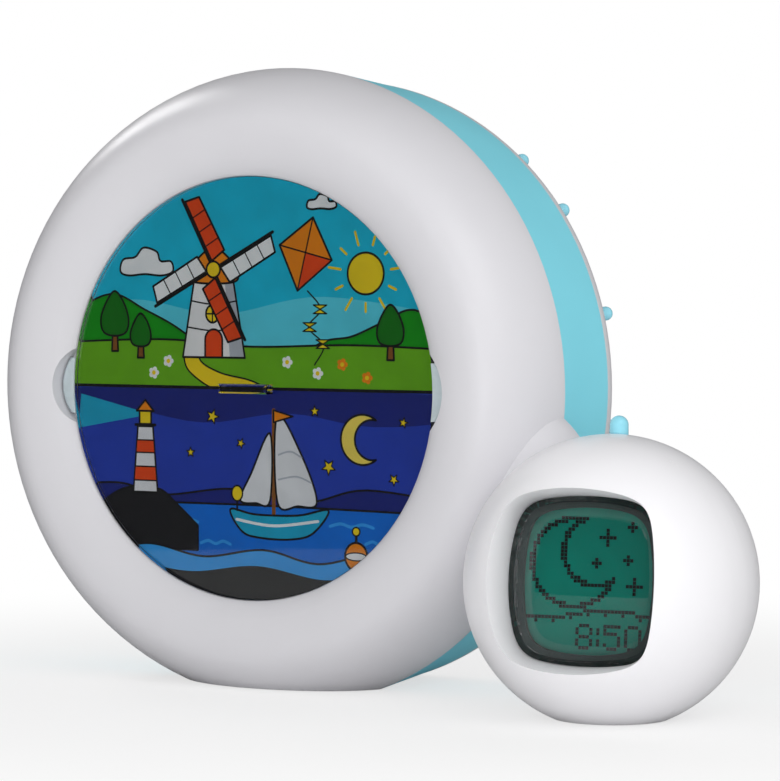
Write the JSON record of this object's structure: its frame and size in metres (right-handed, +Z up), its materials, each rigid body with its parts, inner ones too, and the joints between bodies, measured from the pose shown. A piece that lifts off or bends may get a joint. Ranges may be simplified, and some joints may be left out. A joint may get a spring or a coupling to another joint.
{
  "type": "kids alarm clock with night light",
  "caption": "Round table clock with a lit picture disc behind a lift-off lens, a ball-shaped display unit on a side neck, sprung pin buttons and a battery door.",
  "frame": {"origin": "flat base, under the axis of the round ring, in the plane where the ring meets the drum", "axes": "+Z up, -Y is the front with the picture, +X towards the ball unit"},
  "size_m": [0.2455, 0.0972, 0.1761],
  "materials": {
    "abs_white": "satin moulded ABS",
    "abs_blue": "satin moulded ABS",
    "abs_inner_white": "plain moulded ABS",
    "abs_inner_black": "plain moulded ABS",
    "acrylic_clear": "polished acrylic",
    "acrylic_frosted": "frosted acrylic",
    "card": "printed film",
    "opal_sheet": "opal sheet",
    "circuit_board": "solder-masked board",
    "lamp_white": "moulded lamp",
    "chip_black": "moulded epoxy",
    "speaker_black": "pressed frame",
    "screw_steel": "zinc-plated steel",
    "cell_jacket": "wrapped steel can",
    "contact_nickel": "nickel-plated spring strip",
    "button_blue": "moulded ABS",
    "lcd_green": "reflective liquid-crystal glass",
    "cable_black": "vinyl jacket"
  },
  "bodies": {
    "root": {"front_ring": "abs_white", "drum_casing": "abs_blue", "rear_cover": "abs_white", "picture_card": "card", "diffuser": "opal_sheet", "light_box": "abs_inner_white", "day_lamp_board": "circuit_board", "night_lamp_board": "circuit_board", "day_lamps": "lamp_white", "night_lamps": "lamp_white", "main_board": "circuit_board", "main_board_chips": "chip_black", "speaker": "speaker_black", "housing_screws": "screw_steel", "light_box_screws": "screw_steel", "board_screws": "screw_steel", "battery_cells": "cell_jacket", "battery_contacts": "contact_nickel", "rear_key_boards": "circuit_board", "rear_key_switches": "chip_black", "ball_front_shell": "abs_white", "ball_rear_shell": "abs_white", "lcd_lens": "acrylic_clear", "lcd_frame": "abs_inner_black", "lcd_glass": "lcd_green", "lcd_backlight": "opal_sheet", "ball_board": "circuit_board", "ball_board_screws": "screw_steel", "ball_key_board": "circuit_board", "ball_key_switch": "chip_black", "ball_seam_screws": "screw_steel", "ball_mount_screws": "screw_steel", "ball_cable": "cable_black"},
    "picture_cover": {"picture_lens": "acrylic_clear", "lens_tabs": "acrylic_frosted"},
    "battery_cover": {"battery_door": "abs_white", "battery_door_screw": "screw_steel"},
    "top_button": {"ball_top_button": "button_blue"},
    "rear_button_1": {"rear_button_1": "button_blue"},
    "rear_button_2": {"rear_button_2": "button_blue"},
    "rear_button_3": {"rear_button_3": "button_blue"},
    "rear_button_4": {"rear_button_4": "button_blue"}
  },
  "joints": [
    {"name": "picture_cover_lift", "type": "slide", "parent": "root", "child": "picture_cover", "axis": [0, -1, 0], "range_m": [0, 0.025]},
    {"name": "battery_door_tilt", "type": "hinge", "parent": "root", "child": "battery_cover", "pos_m": [0, 0.0378, 0.0262], "axis": [-1, 0, 0], "range_deg": [0, 60]},
    {"name": "top_button_press", "type": "slide", "parent": "root", "child": "top_button", "axis": [0, 0, -1], "range_m": [0, 0.0012], "stiffness_N_per_m": 400},
    {"name": "rear_button_1_press", "type": "slide", "parent": "root", "child": "rear_button_1", "axis": [-0.2773, -0.9063, -0.319], "range_m": [0, 0.0012], "stiffness_N_per_m": 400},
    {"name": "rear_button_2_press", "type": "slide", "parent": "root", "child": "rear_button_2", "axis": [-0.3419, -0.9063, -0.2484], "range_m": [0, 0.0012], "stiffness_N_per_m": 400},
    {"name": "rear_button_3_press", "type": "slide", "parent": "root", "child": "rear_button_3", "axis": [-0.4097, -0.9063, -0.1037], "range_m": [0, 0.0012], "stiffness_N_per_m": 400},
    {"name": "rear_button_4_press", "type": "slide", "parent": "root", "child": "rear_button_4", "axis": [-0.4191, -0.9063, 0.0544], "range_m": [0, 0.0012], "stiffness_N_per_m": 400}
  ]
}
